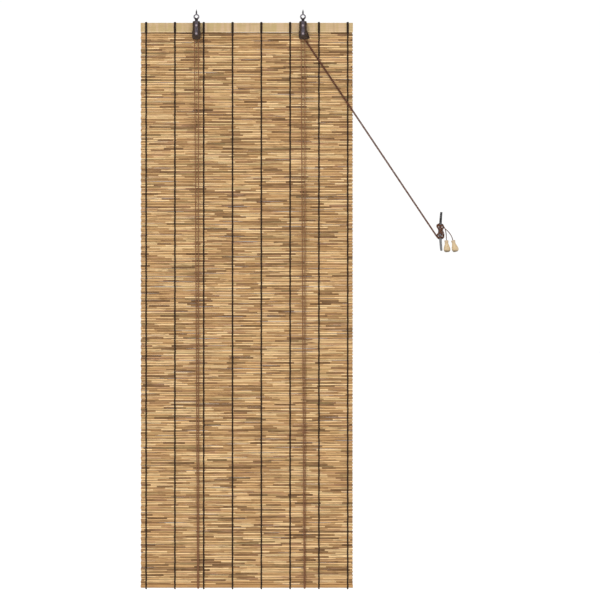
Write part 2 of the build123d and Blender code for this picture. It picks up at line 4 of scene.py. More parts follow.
import bpy
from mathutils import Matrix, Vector


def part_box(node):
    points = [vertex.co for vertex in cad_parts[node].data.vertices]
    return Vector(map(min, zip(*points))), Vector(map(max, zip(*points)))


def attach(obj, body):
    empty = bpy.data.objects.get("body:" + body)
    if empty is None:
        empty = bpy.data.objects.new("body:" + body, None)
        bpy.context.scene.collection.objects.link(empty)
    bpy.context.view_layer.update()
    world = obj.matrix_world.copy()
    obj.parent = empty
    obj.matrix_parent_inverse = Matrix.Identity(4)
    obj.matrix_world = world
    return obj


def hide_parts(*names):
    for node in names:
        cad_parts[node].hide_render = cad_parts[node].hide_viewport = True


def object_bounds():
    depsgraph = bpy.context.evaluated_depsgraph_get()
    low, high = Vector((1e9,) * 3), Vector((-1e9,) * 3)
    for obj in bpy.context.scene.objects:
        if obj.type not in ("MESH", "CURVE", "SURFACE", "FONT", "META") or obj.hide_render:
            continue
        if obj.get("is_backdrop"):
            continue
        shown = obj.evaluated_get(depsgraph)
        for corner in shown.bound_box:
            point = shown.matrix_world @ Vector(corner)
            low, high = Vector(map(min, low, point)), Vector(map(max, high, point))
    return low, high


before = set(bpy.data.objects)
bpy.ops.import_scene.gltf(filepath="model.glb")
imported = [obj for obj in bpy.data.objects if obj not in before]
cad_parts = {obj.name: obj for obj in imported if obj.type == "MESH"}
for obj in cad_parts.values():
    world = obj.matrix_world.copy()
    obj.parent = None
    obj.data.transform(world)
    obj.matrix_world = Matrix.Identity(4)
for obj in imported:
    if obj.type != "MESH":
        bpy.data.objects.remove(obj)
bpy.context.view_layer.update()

bl_info = {
    "name": "Reed roll-up blind",
    "version": (1, 0, 0),
    "blender": (4, 5, 0),
    "location": "View3D > Sidebar > Blind",
    "description": "Finishes, reeds, yarn, cords and stage for a reed roll-up blind",
    "category": "Object",
}

MM = 0.001
BODY = "blind"
SIDES = ("left", "right")

# Lengths are in millimetres, except in the finishes, the settings and the stage, which are in
# metres. Angles are in degrees where they are named.

# the batten and the bottom stick, where the frame has them
BLIND_LEFT = -308.4
BLIND_RIGHT = 291.6
MAT_Y = 10.2
BATTEN_TOP = -24.3
BATTEN_BOTTOM = -51.3
BATTEN_HALF = 2.5
ROD_Z = -1617.0
ROD_RADIUS = 5.0

# the stems, a touch thicker than the frame's so that neighbours close up, and the first
# and the last closed up to the batten and the stick
REED_RADIUS = 2.66
REED_SPREAD = 0.12
REED_SIDES = 8
REED_END_PLAY = 1.6
REED_FIRST_Z = -54.1
REED_LAST_Z = -1609.6
REED_COURSES = 10
REEDS_PER_COURSE = 33
REED_COUNT = REED_COURSES * REEDS_PER_COURSE
REED_PITCH = (REED_FIRST_Z - REED_LAST_Z) / (REED_COUNT - 1)
JOINT_START = (20, 220)
JOINT_SPACING = (150, 260)
JOINT_RING_GAP = 1.1
JOINT_LENGTH = 1.6
JOINT_SWELL = 0.09
HOLLOW_RIM = 0.62
HOLLOW_DEPTH = 2.5
# painted shade in the valleys between stems, full near the mat's middle plane and gone further
# out
VALLEY_SHADE_FULL = 0.0000018  # square of the distance from the mat's middle plane, in square metres
VALLEY_SHADE_CLEAR = 0.0000052

# the warp yarns
WARP_COUNT = 8
WARP_FIRST_X = BLIND_LEFT + 15.5
WARP_PITCH = 81.4
YARN_LIFT = 0.45
YARN_FLATNESS = 1.45
YARN_WEAVE = 0.45
YARN_STRAY = 0.25
YARN_STEPS_PER_REED = 4
YARN_SIDES = 6
LOOP_GAP = 1.1
LOOP_RISE = 1.3
LOOP_CORNER = 1.9
LOOP_CORNER_STEPS = 4
LOOP_HALVES = (1.5, 1.05)  # half the width and half the depth
LOOPS_APART = 1.6
HOOP_GAP = 1.0
HOOP_LEAN = 0.5
HOOP_POINTS = 20
HOOP_HALVES = (1.0, 0.85)
HOOPS_APART = 1.0
KNOT_POINTS = 30
LOW_KNOT = 2.6
LOW_KNOT_DROP = 2.0
HIGH_KNOT = 2.2
HIGH_KNOT_ASIDE = 0.3
HIGH_KNOT_Y = MAT_Y - 4.6
HIGH_KNOT_Z = BATTEN_TOP + 0.2
HIGH_KNOT_SEED = 20

# the hardware
STRAP_FOLD_Z = -18.5
EYE_SHANK_RADIUS = 2.2
THREAD_START_Z = 0.6
THREAD_END_GAP = 1.2
THREAD_RADIUS = 0.34
THREAD_SIDES = 5
THREAD_STEPS_PER_TURN = 14
SCREW_TAPER = 7.0

# the cords
CORD_RADIUS = 1.25
CORD_SPACING = 0.9
CORD_STRANDS = 3
STRAND_SIDES = 6
STRAND_RADIUS_SHARE = 0.58
STRAND_OFFSET_SHARE = 0.48
STRANDS_TURNED = {"left": 0.8, "right": 0.0}
PAIR_STEP = 2.6
PAIR_SIDE = {"left": -1, "right": 1}
GUIDE_TURN = (154.9, 5.5, -70.4)
EXIT_DISTANCE = 8.0
CLEAT = (538.5, 0.0, -614.5)
PULL_END = (CLEAT[0] - 10.2, 0.4, CLEAT[2] - 14.3)
STRAIGHT_END = 15.0  # six cord diameters before the cleat
TASSEL_DROP = 25.0
TASSEL_HEIGHT = 33.5
TASSEL_TOP_Z = CLEAT[2] - TASSEL_DROP
TASSEL_KNOT_DEPTH = 21.9
TASSEL_TILTS = {"left": 4.0, "right": 14.0}

# the stage, in metres
FLOOR_HALF = 40.0
CAMERA_DISTANCE = 6.5
CAMERA_X = 0.142
CAMERA_Z = -0.808
SHOWN_WIDTH = 1.696
MAT_FACE_Y = 0.008


# --- shader expressions ---------------------------------------------------------------------
class Value:
    """A shader socket that Python's arithmetic works on."""

    def __init__(self, nodes, socket):
        self.nodes = nodes
        self.socket = socket

    def math(self, operation, other, reflected=False):
        first, second = (other, self) if reflected else (self, other)
        return self.nodes.node("ShaderNodeMath", {"operation": operation}, {0: first, 1: second})

    def __add__(self, other):
        return self.math("ADD", other)

    def __radd__(self, other):
        return self.math("ADD", other, True)

    def __sub__(self, other):
        return self.math("SUBTRACT", other)

    def __rsub__(self, other):
        return self.math("SUBTRACT", other, True)

    def __mul__(self, other):
        return self.math("MULTIPLY", other)

    def __rmul__(self, other):
        return self.math("MULTIPLY", other, True)

    def between(self, low, high):
        """0 below low, 1 above high, smooth in between."""
        settings = {"interpolation_type": "SMOOTHSTEP"}
        inputs = {0: self, 1: low, 2: high, 3: 0.0, 4: 1.0}
        return self.nodes.node("ShaderNodeMapRange", settings, inputs)

    def sine(self):
        return self.math("SINE", 0.0)

    def absolute(self):
        return self.math("ABSOLUTE", 0.0)


class Nodes:
    """The nodes of a material or of the world."""

    def __init__(self, owner):
        owner.use_nodes = True
        self.tree = owner.node_tree
        self.tree.nodes.clear()

    def node(self, kind, settings=None, inputs=None, output=0):
        """Any node: its type, its settings first, then the values or links of its sockets."""
        node = self.tree.nodes.new(kind)
        for key, value in (settings or {}).items():
            if key == "stops":
                self.set_stops(node.color_ramp, value)
            else:
                setattr(node, key, value)
        for key, value in (inputs or {}).items():
            if isinstance(value, Value):
                self.tree.links.new(value.socket, node.inputs[key])
            else:
                node.inputs[key].default_value = value
        return Value(self, node.outputs[output]) if node.outputs else None

    def set_stops(self, ramp, stops):
        while len(ramp.elements) < len(stops):
            ramp.elements.new(1.0)
        for element, (place, color) in zip(ramp.elements, stops):
            element.position = place
            element.color = (*color, 1.0)


class Finish(Nodes):
    """One material, built from its nodes."""

    def __init__(self, name):
        self.material = bpy.data.materials.new(name)
        super().__init__(self.material)

    def place(self):
        """Object coordinates, which are the frame's own, in metres."""
        return self.node("ShaderNodeTexCoord", output="Object")

    def axis(self, letter):
        """One of those coordinates."""
        return self.node("ShaderNodeSeparateXYZ", None, {0: self.place()}, letter)

    def axes(self):
        return [self.axis(letter) for letter in "XYZ"]

    def vector(self, x=0.0, y=0.0, z=0.0):
        return self.node("ShaderNodeCombineXYZ", None, {"X": x, "Y": y, "Z": z})

    def noise(self, vector, scale=1.0, detail=3.0, roughness=0.5):
        inputs = {"Vector": vector, "Scale": scale, "Detail": detail, "Roughness": roughness}
        return self.node("ShaderNodeTexNoise", None, inputs, "Fac")

    def cells(self, along):
        """A random number for each stretch along a line."""
        settings = {"voronoi_dimensions": "1D", "feature": "F1"}
        color = self.node("ShaderNodeTexVoronoi", settings, {"W": along, "Scale": 1.0}, "Color")
        return self.node("ShaderNodeSeparateColor", None, {0: color}, 0)

    def white(self, value):
        settings = {"noise_dimensions": "1D"}
        return self.node("ShaderNodeTexWhiteNoise", settings, {"W": value}, "Value")

    def attribute(self, name):
        return self.node("ShaderNodeAttribute", {"attribute_name": name}, None, "Fac")

    def ramp(self, value, stops):
        return self.node("ShaderNodeValToRGB", {"stops": stops}, {0: value})

    def mix(self, factor, first, second):
        """Mixes two colours."""
        first, second = [c if isinstance(c, Value) else (*c, 1.0) for c in (first, second)]
        inputs = {0: factor, 6: first, 7: second}
        return self.node("ShaderNodeMix", {"data_type": "RGBA"}, inputs, 2)

    def bump(self, height, distance, strength=1.0):
        inputs = {"Height": height, "Distance": distance, "Strength": strength}
        return self.node("ShaderNodeBump", None, inputs)

    def surface(self, **sockets):
        """The shader itself, by its sockets' names with spaces as underscores."""
        inputs = {key.replace("_", " "): value for key, value in sockets.items()}
        shader = self.node("ShaderNodeBsdfPrincipled", None, inputs)
        self.node("ShaderNodeOutputMaterial", None, {"Surface": shader})
        return self.material


# --- finishes ---------------------------------------------------------------------------------
def reed_finish(colors):
    """Dry reed: straw, honey and brown stretches that change at each leaf scar, with fibres, and
    painted shade in the valleys between stems and on the top stem under the batten.
    """
    f = Finish("dry_reed")
    x, y, z = f.axes()
    stem = f.attribute("stem")
    sheath = f.cells(x * 17.0 + stem * 13.71)
    patch = f.noise(f.vector(x * 9.0, stem * 3.17), 1.0, 2.0)
    tone = sheath * 0.62 + patch * 0.34 + f.white(stem) * 0.16
    color = f.ramp(
        tone,
        [
            (0.20, tuple(colors.reed_dark)),
            (0.30, (0.25, 0.130, 0.050)),
            (0.42, tuple(colors.reed_middle)),
            (0.62, (0.63, 0.378, 0.162)),
            (0.85, tuple(colors.reed_pale)),
        ],
    )
    streak = f.noise(f.vector(x * 22.0, stem * 5.3, z * 420.0), 1.0, 3.0, 0.6).between(0.56, 0.66)
    color = f.mix(streak * 0.75, color, (0.12, 0.045, 0.012))
    fibre = f.noise(f.vector(x * 55.0, y * 2600.0, z * 2600.0), 1.0, 3.0, 0.6)
    color = f.mix(fibre.between(0.35, 0.75) * 0.28, color, (0.68, 0.46, 0.235))
    blush = f.noise(f.vector(x * 14.0, stem * 1.9, 4.0), 1.0, 1.0).between(0.5, 0.75)
    color = f.mix(blush * 0.40, color, (0.52, 0.28, 0.165))
    khaki = f.noise(f.vector(x * 8.0, stem * 2.3, 9.0), 1.0, 1.0).between(0.52, 0.70)
    color = f.mix(khaki * 0.35, color, (0.40, 0.315, 0.135))
    # painted shade: stem surfaces lying back towards the mat's middle plane, in the valleys
    # between stems, are darkened
    depth = y - MAT_Y * MM
    valley_shade = 1.0 - (depth * depth).between(VALLEY_SHADE_FULL, VALLEY_SHADE_CLEAR)
    color = f.mix(valley_shade * 0.88, color, (0.085, 0.036, 0.010))
    # painted shade: the top stem is darkened where the batten's lower edge shades it
    shade_under_batten = (z - (REED_FIRST_Z - REED_PITCH / 2) * MM).between(-0.0004, 0.0004)
    color = f.mix(shade_under_batten * 0.55, color, (0.070, 0.030, 0.006))
    return f.surface(
        Base_Color=color,
        Roughness=0.42 + fibre * 0.18,
        Specular_IOR_Level=0.22,
        Normal=f.bump(fibre, 0.00012, 0.7),
    )


def pith_finish():
    """The dark hollow and pale rim at a cut end."""
    f = Finish("reed_cut_end")
    grain = f.noise(f.place(), 2400.0, 3.0)
    color = f.mix(grain, (0.10, 0.055, 0.024), (0.30, 0.19, 0.09))
    return f.surface(Base_Color=color, Roughness=0.85, Normal=f.bump(grain, 0.0002))


def slat_finish(colors):
    """Split bamboo: long fibres, khaki and pinkish bands, scars where the joints were, and a
    painted highlight along the rounded lower edge.
    """
    f = Finish("bamboo_slat")
    x, y, z = f.axes()
    fibre = f.noise(f.vector(x * 14.0, y * 700.0, z * 900.0), 1.0, 4.0, 0.6)
    band = f.noise(f.vector(x * 62.0, 0.0, z * 9.0), 1.0, 2.0, 0.55)
    patch = f.noise(f.vector(x * 11.0, 3.0, z * 26.0), 1.0, 2.0)
    color = f.mix(patch.between(0.35, 0.65), tuple(colors.slat), (0.48, 0.33, 0.165))
    color = f.mix(band.between(0.45, 0.62) * 0.7, color, (0.55, 0.38, 0.235))
    color = f.mix(fibre.between(0.45, 0.70) * 0.40, color, (0.29, 0.195, 0.070))
    # painted highlight: a paler band along the rounded lower edge, where it catches the light
    edge_highlight = 1.0 - (z - BATTEN_BOTTOM * MM).between(0.0008, 0.0034)
    color = f.mix(edge_highlight * 0.75, color, (0.80, 0.60, 0.34))
    scar = f.noise(f.vector(x * 4.2, 9.0, 0.0), 1.0, 0.0)
    ring = 1.0 - ((scar - 0.5) * (scar - 0.5) * 900.0).between(0.0, 0.05)
    color = f.mix(ring * 0.22, color, (0.25, 0.145, 0.055))
    return f.surface(
        Base_Color=color,
        Roughness=0.40 + fibre * 0.16,
        Specular_IOR_Level=0.4,
        Normal=f.bump(fibre, 0.0002, 0.6),
    )


def stick_finish(colors):
    """Orange-brown round stick with long grain."""
    f = Finish("brown_stick")
    x, y, z = f.axes()
    grain = f.noise(f.vector(x * 9.0, y * 520.0, z * 520.0), 1.0, 4.0, 0.62)
    patch = f.noise(f.vector(x * 16.0, 5.0, 0.0), 1.0, 2.0)
    color = f.mix(grain.between(0.3, 0.7), tuple(colors.stick), (0.50, 0.28, 0.095))
    color = f.mix(patch.between(0.5, 0.7) * 0.55, color, (0.24, 0.105, 0.035))
    return f.surface(
        Base_Color=color, Roughness=0.45 + grain * 0.2, Normal=f.bump(grain, 0.0003, 0.6)
    )


def yarn_finish(colors):
    """Black-brown cotton yarn with a fuzzy twist."""
    f = Finish("black_yarn")
    x, z = f.axis("X"), f.axis("Z")
    ply = (z * 2600.0 + x * 1500.0).sine() * 0.5 + 0.5
    fuzz = f.noise(f.place(), 2600.0, 4.0, 0.7)
    color = f.mix(ply * 0.5 + fuzz * 0.35, tuple(colors.yarn), (0.040, 0.024, 0.014))
    return f.surface(
        Base_Color=color,
        Roughness=0.95,
        Specular_IOR_Level=0.15,
        Sheen_Weight=0.04,
        Normal=f.bump(ply * 0.7 + fuzz * 0.5, 0.00025),
    )


def cord_finish(name, colors, laid):
    """Rust-brown cord. A run whose strands aren't modelled is laid by colour and bump, with
    painted shade in the grooves between its strands.
    """
    f = Finish(name)
    x, y, z = f.axes()
    fibre = f.noise(f.place(), 1800.0, 4.0, 0.65)
    shade = f.noise(f.vector(x * 60.0, y * 60.0, z * 60.0), 1.0, 2.0)
    color = f.mix(fibre.between(0.3, 0.7), tuple(colors.cord), (0.150, 0.055, 0.024))
    color = f.mix(shade.between(0.45, 0.65) * 0.35, color, (0.048, 0.018, 0.009))
    height = fibre * 0.3
    if laid:
        color = f.mix(0.5, color, (0.36, 0.165, 0.070))
        lay = (z * 2700.0 + x * 1400.0 + y * 700.0).sine() * 0.5 + 0.5
        # painted shade in the grooves between the strands
        color = f.mix((1.0 - lay).between(0.55, 1.0) * 0.75, color, (0.055, 0.018, 0.008))
        height = height + lay
    return f.surface(
        Base_Color=color,
        Roughness=0.7 + fibre * 0.2,
        Specular_IOR_Level=0.3,
        Sheen_Weight=0.05,
        Normal=f.bump(height, 0.00035),
    )


def strap_steel_finish():
    """Strap steel, bluer and smoother than the cheeks, near black where it holds the ring."""
    f = Finish("strap_steel")
    z = f.axis("Z")
    cloud = f.noise(f.place(), 320.0, 3.0, 0.6)
    grit = f.noise(f.place(), 2200.0, 3.0, 0.6)
    color = f.mix(cloud.between(0.35, 0.68), (0.062, 0.050, 0.058), (0.120, 0.100, 0.118))
    fold = (z - STRAP_FOLD_Z * MM).between(-0.004, 0.0)
    color = f.mix(fold * 0.85, color, (0.014, 0.010, 0.012))
    return f.surface(
        Base_Color=color,
        Metallic=0.7,
        Roughness=0.38 + cloud * 0.2,
        Normal=f.bump(grit, 0.00006, 0.5),
    )


def blackened_steel_finish(colors):
    """Pressed steel, browned and a little rubbed."""
    f = Finish("blackened_steel")
    cloud = f.noise(f.place(), 260.0, 3.0, 0.6)
    grit = f.noise(f.place(), 1900.0, 4.0, 0.65)
    color = f.mix(cloud.between(0.38, 0.68), tuple(colors.block), (0.066, 0.041, 0.027))
    color = f.mix(grit.between(0.58, 0.72) * 0.5, color, (0.14, 0.105, 0.088))
    return f.surface(
        Base_Color=color,
        Metallic=0.75,
        Roughness=0.36 + cloud * 0.28,
        Normal=f.bump(grit, 0.00008, 0.6),
    )


def zinc_finish():
    """Dull plated wire with a lilac-grey cast, darker on the threads above the rings."""
    f = Finish("zinc_wire")
    z = f.axis("Z")
    cloud = f.noise(f.place(), 420.0, 3.0, 0.6)
    scratch = f.noise(f.place(), 2500.0, 3.0, 0.7)
    color = f.mix(cloud.between(0.3, 0.7), (0.13, 0.12, 0.135), (0.29, 0.27, 0.30))
    # darker on the threads above the rings
    color = f.mix(z.between(-0.0005, 0.0012) * 0.9, color, (0.022, 0.022, 0.024))
    return f.surface(
        Base_Color=color,
        Metallic=0.9,
        Roughness=0.26 + cloud * 0.2,
        Normal=f.bump(scratch, 0.00005, 0.5),
    )


def rivet_finish():
    """Pinkish-grey tarnished steel."""
    f = Finish("rivet_steel")
    cloud = f.noise(f.place(), 600.0, 3.0, 0.6)
    pit = f.noise(f.place(), 2800.0, 3.0, 0.7)
    color = f.mix(cloud.between(0.35, 0.7), (0.27, 0.215, 0.225), (0.44, 0.36, 0.375))
    return f.surface(
        Base_Color=color,
        Metallic=0.7,
        Roughness=0.34 + cloud * 0.2,
        Normal=f.bump(pit, 0.00006, 0.5),
    )


def wheel_finish():
    """Plain turned metal, brown with use."""
    f = Finish("wheel_metal")
    turn = f.noise(f.vector(y=f.axis("Y") * 3000.0), 1.0, 2.0)
    cloud = f.noise(f.place(), 300.0, 3.0)
    color = f.mix(cloud.between(0.3, 0.7), (0.17, 0.14, 0.12), (0.32, 0.28, 0.25))
    return f.surface(
        Base_Color=color,
        Metallic=0.85,
        Roughness=0.35 + turn * 0.2,
        Normal=f.bump(turn, 0.00008),
    )


def cleat_finish(colors):
    """Cast grey metal with painted shade darkening it towards its upper horn, a grainy skin and
    rubbed horns.
    """
    f = Finish("cast_grey_metal")
    # painted shade: darker towards the upper horn, from how the light falls on it
    height = (f.axis("Z") - (CLEAT[2] - 20.0) * MM).between(0.0, 0.045)
    grit = f.noise(f.place(), 1300.0, 4.0, 0.65)
    cloud = f.noise(f.place(), 130.0, 3.0, 0.6)
    color = f.mix(height, tuple(colors.cleat), (0.035, 0.035, 0.035))
    color = f.mix(cloud.between(0.45, 0.70) * 0.35, color, (0.30, 0.30, 0.31))
    return f.surface(
        Base_Color=color,
        Metallic=0.8,
        Roughness=0.38 + grit * 0.22,
        Normal=f.bump(grit, 0.00012, 0.8),
    )


def turned_wood_finish(colors):
    """Cream lacquered wood with faint long grain, painted shade on its foot and a shaded neck."""
    f = Finish("pale_wood")
    x, y, z = f.axes()
    grain = f.noise(f.vector(x * 900.0, y * 900.0, z * 70.0), 1.0, 4.0, 0.6)
    color = f.mix(grain.between(0.35, 0.7) * 0.30, tuple(colors.tassel), (0.50, 0.34, 0.155))
    # painted shade: the foot darkens towards the bottom, as on an underside lit from above
    foot_shade = 1.0 - (z - (TASSEL_TOP_Z - TASSEL_HEIGHT) * MM).between(0.0012, 0.0085)
    color = f.mix(foot_shade * 0.92, color, (0.095, 0.060, 0.018))
    neck = (z - TASSEL_TOP_Z * MM).between(-0.010, 0.0)
    color = f.mix(neck * 0.55, color, (0.42, 0.31, 0.235))
    return f.surface(
        Base_Color=color,
        Roughness=0.32 + grain * 0.1,
        Coat_Weight=0.35,
        Coat_Roughness=0.2,
        Normal=f.bump(grain, 0.0001, 0.5),
    )


def floor_finish():
    """Matt off-white ground."""
    f = Finish("pale_ground")
    cloud = f.noise(f.place(), 1.2, 2.0)
    color = f.mix(cloud, (0.90, 0.90, 0.90), (0.92, 0.92, 0.92))
    return f.surface(Base_Color=color, Roughness=0.9)


# --- shapes ----------------------------------------------------------------------------------
class Shape:
    """Vertices and faces gathered for one piece, in millimetres."""

    def __init__(self):
        self.vertices = []
        self.faces = []
        self.slots = []
        self.stems = []

    def rings(self, rings, slot=0, closed=False, capped=True, stem=0.0):
        """Joins rings of points, all of one count, into a skin."""
        sides = len(rings[0])
        start = len(self.vertices)
        for ring in rings:
            self.vertices.extend(ring)
            self.stems.extend([stem] * sides)
        count = len(rings) if closed else len(rings) - 1
        for i in range(count):
            here = start + i * sides
            there = start + (i + 1) % len(rings) * sides
            for j in range(sides):
                k = (j + 1) % sides
                self.faces.append((here + j, here + k, there + k, there + j))
                self.slots.append(slot)
        if capped and not closed:
            end = start + len(rings) * sides
            self.faces.append(tuple(range(start + sides - 1, start - 1, -1)))
            self.faces.append(tuple(range(end - sides, end)))
            self.slots.extend([slot, slot])

    def tube(self, line, half_wide, half_deep, sides, closed=False, wide=None):
        """An oval tube along a line. wide is the direction that half_wide is measured in."""
        frames = moving_frames(line, closed, wide)
        rings = []
        for point, (across, out) in zip(line, frames):
            ring = []
            for j in range(sides):
                angle = 2 * math.pi * j / sides
                right = across * half_wide * math.cos(angle)
                ring.append(point + right + out * half_deep * math.sin(angle))
            rings.append(ring)
        self.rings(rings, closed=closed)

    def piece(self, name, materials, replaced=()):
        """Makes the object, which rides on the blind and stands for the nodes it replaces."""
        mesh = bpy.data.meshes.new(name)
        mesh.from_pydata([tuple(c * MM for c in v) for v in self.vertices], [], self.faces)
        mesh.polygons.foreach_set("use_smooth", [True] * len(mesh.polygons))
        for material in materials:
            mesh.materials.append(material)
        mesh.polygons.foreach_set("material_index", self.slots)
        stems = mesh.attributes.new("stem", "FLOAT", "POINT")
        stems.data.foreach_set("value", self.stems)
        mesh.update()
        item = bpy.data.objects.new(name, mesh)
        bpy.context.scene.collection.objects.link(item)
        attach(item, BODY)
        if replaced:
            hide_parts(*replaced)
        return item


def moving_frames(line, closed=False, wide=None):
    """For each point of a line, two vectors square to it that turn with it."""
    frames = []
    previous = Vector(wide) if wide else None
    for i in range(len(line)):
        if closed:
            along = (line[(i + 1) % len(line)] - line[i - 1]).normalized()
        else:
            along = (line[min(i + 1, len(line) - 1)] - line[max(i - 1, 0)]).normalized()
        hint = Vector(wide) if wide else previous
        if hint is None:
            hint = Vector((0, 0, 1)) if abs(along.z) < 0.8 else Vector((0, 1, 0))
        across = (hint - along * hint.dot(along)).normalized()
        previous = across
        frames.append((across, along.cross(across)))
    return frames


def smooth_line(name, route, spacing):
    """Evenly spaced points read along one smooth spline whose control points are the route's."""
    curve = bpy.data.curves.new(name + "_line", "CURVE")
    curve.dimensions = "3D"
    curve.resolution_u = 20
    spline = curve.splines.new("NURBS")
    spline.points.add(len(route) - 1)
    for point, place in zip(spline.points, route):
        point.co = (*place, 1.0)
    spline.order_u = 3
    spline.use_endpoint_u = True
    holder = bpy.data.objects.new(name + "_line", curve)
    mesh = bpy.data.meshes.new_from_object(holder)
    line = [vertex.co.copy() for vertex in mesh.vertices]
    bpy.data.meshes.remove(mesh)
    bpy.data.objects.remove(holder)
    bpy.data.curves.remove(curve)
    return even_line(line, spacing)


def even_line(line, spacing):
    """The same line with its points a fixed distance apart."""
    total = line_length(line)
    count = max(2, round(total / spacing))
    step = total / count
    even = [line[0].copy()]
    walked, wanted = 0.0, step
    for a, b in zip(line, line[1:]):
        length = (b - a).length
        while wanted <= walked + length + 1e-9 and len(even) < count:
            even.append(a.lerp(b, (wanted - walked) / length))
            wanted += step
        walked += length
    even.append(line[-1].copy())
    return even


def line_length(line):
    return sum((b - a).length for a, b in zip(line, line[1:]))


def laid_cord(shape, line, lay, turned):
    """Strands laid round each other along a line."""
    strand = CORD_RADIUS * STRAND_RADIUS_SHARE
    offset = CORD_RADIUS * STRAND_OFFSET_SHARE
    step = line_length(line) / (len(line) - 1)
    frames = moving_frames(line)
    for number in range(CORD_STRANDS):
        path = []
        for i, (point, (across, out)) in enumerate(zip(line, frames)):
            angle = turned + 2 * math.pi * (i * step / lay + number / CORD_STRANDS)
            right = across * offset * math.cos(angle)
            path.append(point + right + out * offset * math.sin(angle))
        shape.tube(path, strand, strand, STRAND_SIDES)


def node(name):
    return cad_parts[name]


def dress(material, *names):
    """Gives CAD nodes their material."""
    for name in names:
        item = node(name)
        if not item.material_slots:
            item.data.materials.append(material)
        for slot in item.material_slots:
            slot.material = material


# --- settings ---------------------------------------------------------------------------------
def size_property(name, description, default):
    """A length in metres that a user may change."""
    return bpy.props.FloatProperty(
        name=name,
        description=description,
        default=default,
        min=0.0,
        subtype="DISTANCE",
        unit="LENGTH",
    )


def color_property(name, description, default):
    """A colour that a user may change."""
    return bpy.props.FloatVectorProperty(
        name=name,
        description=description,
        default=default,
        min=0.0,
        max=1.0,
        size=3,
        subtype="COLOR",
    )


class BlindSizes(bpy.types.PropertyGroup):
    """Sizes of what is modelled round the frame."""

    yarn_half_width: size_property(
        "Yarn half width", "Half the width of a warp yarn on the mat's face", 0.0021
    )
    yarn_half_depth: size_property(
        "Yarn half depth", "Half the thickness of a warp yarn", 0.00072
    )
    reed_ring_step: size_property(
        "Reed step", "Distance between a reed's modelled rings", 0.013
    )
    reed_wander: size_property(
        "Reed wander", "How far a reed strays from straight", 0.00022
    )
    cord_lay: size_property(
        "Cord lay", "Length in which a cord's strands go once round", 0.0085
    )
    thread_pitch: size_property(
        "Thread pitch", "Distance between the turns of the screw eyes' threads", 0.0017
    )
    floor_drop: size_property(
        "Floor drop", "How far the floor lies below the blind", 0.30
    )


class BlindColors(bpy.types.PropertyGroup):
    """Main colours of the finishes."""

    reed_dark: color_property("Reed, dark", "Weathered stretches of reed", (0.12, 0.055, 0.018))
    reed_middle: color_property("Reed, middle", "Honey stretches of reed", (0.47, 0.262, 0.102))
    reed_pale: color_property("Reed, pale", "Straw stretches of reed", (0.86, 0.595, 0.300))
    slat: color_property("Slat", "Bamboo of the top batten", (0.45, 0.33, 0.15))
    stick: color_property("Stick", "Wood of the bottom rod", (0.30, 0.145, 0.040))
    yarn: color_property("Yarn", "Warp yarn", (0.010, 0.006, 0.004))
    cord: color_property("Cord", "Lift and pull cords", (0.078, 0.026, 0.011))
    block: color_property("Block", "Pressed steel of the pulley blocks", (0.030, 0.019, 0.012))
    cleat: color_property("Cleat", "Cast metal of the wall cleat", (0.17, 0.17, 0.174))
    tassel: color_property("Tassel", "Turned wood of the tassels", (0.53, 0.395, 0.225))


def chosen_sizes():
    return bpy.context.scene.blind_sizes


def chosen_colors():
    return bpy.context.scene.blind_colors


# --- the mat ---------------------------------------------------------------------------------
def reed_rings(number, step, wander):
    """Rings of one crooked stem with swollen joints."""
    luck = random.Random(number * 7 + 3)
    radius = REED_RADIUS + REED_SPREAD * math.sin(2.4 * number)
    left = BLIND_LEFT + REED_END_PLAY * (0.5 + 0.5 * math.sin(1.7 * number))
    right = BLIND_RIGHT - REED_END_PLAY * (0.5 + 0.5 * math.sin(2.9 * number + 1))
    middle_z = REED_FIRST_Z - number * REED_PITCH
    count = round((right - left) / step)
    places = [left + (right - left) * i / count for i in range(count + 1)]
    joint = left + luck.uniform(*JOINT_START)
    joints = []
    while joint < right - 10:
        joints.append(joint)
        places += [joint - JOINT_RING_GAP, joint, joint + JOINT_RING_GAP]
        joint += luck.uniform(*JOINT_SPACING)
    phases = [luck.uniform(0, 2 * math.pi) for _ in range(4)]
    rings = []
    for x in sorted(places):
        bend_z = math.sin(x / 61 + phases[0]) + 0.6 * math.sin(x / 23 + phases[1])
        bend_y = math.sin(x / 47 + phases[2]) * 0.6
        nearest = min((abs(x - j) for j in joints), default=99)
        swell = 1.0 + JOINT_SWELL * math.exp(-((nearest / JOINT_LENGTH) ** 2))
        swell += 0.035 * math.sin(x / 90 + phases[3])
        centre_y = MAT_Y + bend_y * wander
        centre_z = middle_z + bend_z * wander
        reach = radius * swell
        ring = []
        for j in range(REED_SIDES):
            angle = 2 * math.pi * (j + 0.5) / REED_SIDES
            y = centre_y + reach * math.cos(angle)
            ring.append(Vector((x, y, centre_z + reach * math.sin(angle))))
        rings.append(ring)
    return rings


def hollow_end(shape, ring, inward, stem):
    """Closes a stem's cut end with a rim and a short hollow."""
    centre = sum(ring, Vector()) / len(ring)
    rim = [centre + (point - centre) * HOLLOW_RIM for point in ring]
    depth = [point + Vector((inward * HOLLOW_DEPTH, 0, 0)) for point in rim]
    rings = [ring, rim, depth] if inward < 0 else [depth, rim, ring]
    shape.rings(rings, slot=1, capped=False, stem=stem)
    start = len(shape.vertices) - len(ring) * (1 if inward < 0 else len(rings))
    face = tuple(range(start, start + len(ring)))
    shape.faces.append(face if inward < 0 else face[::-1])
    shape.slots.append(1)


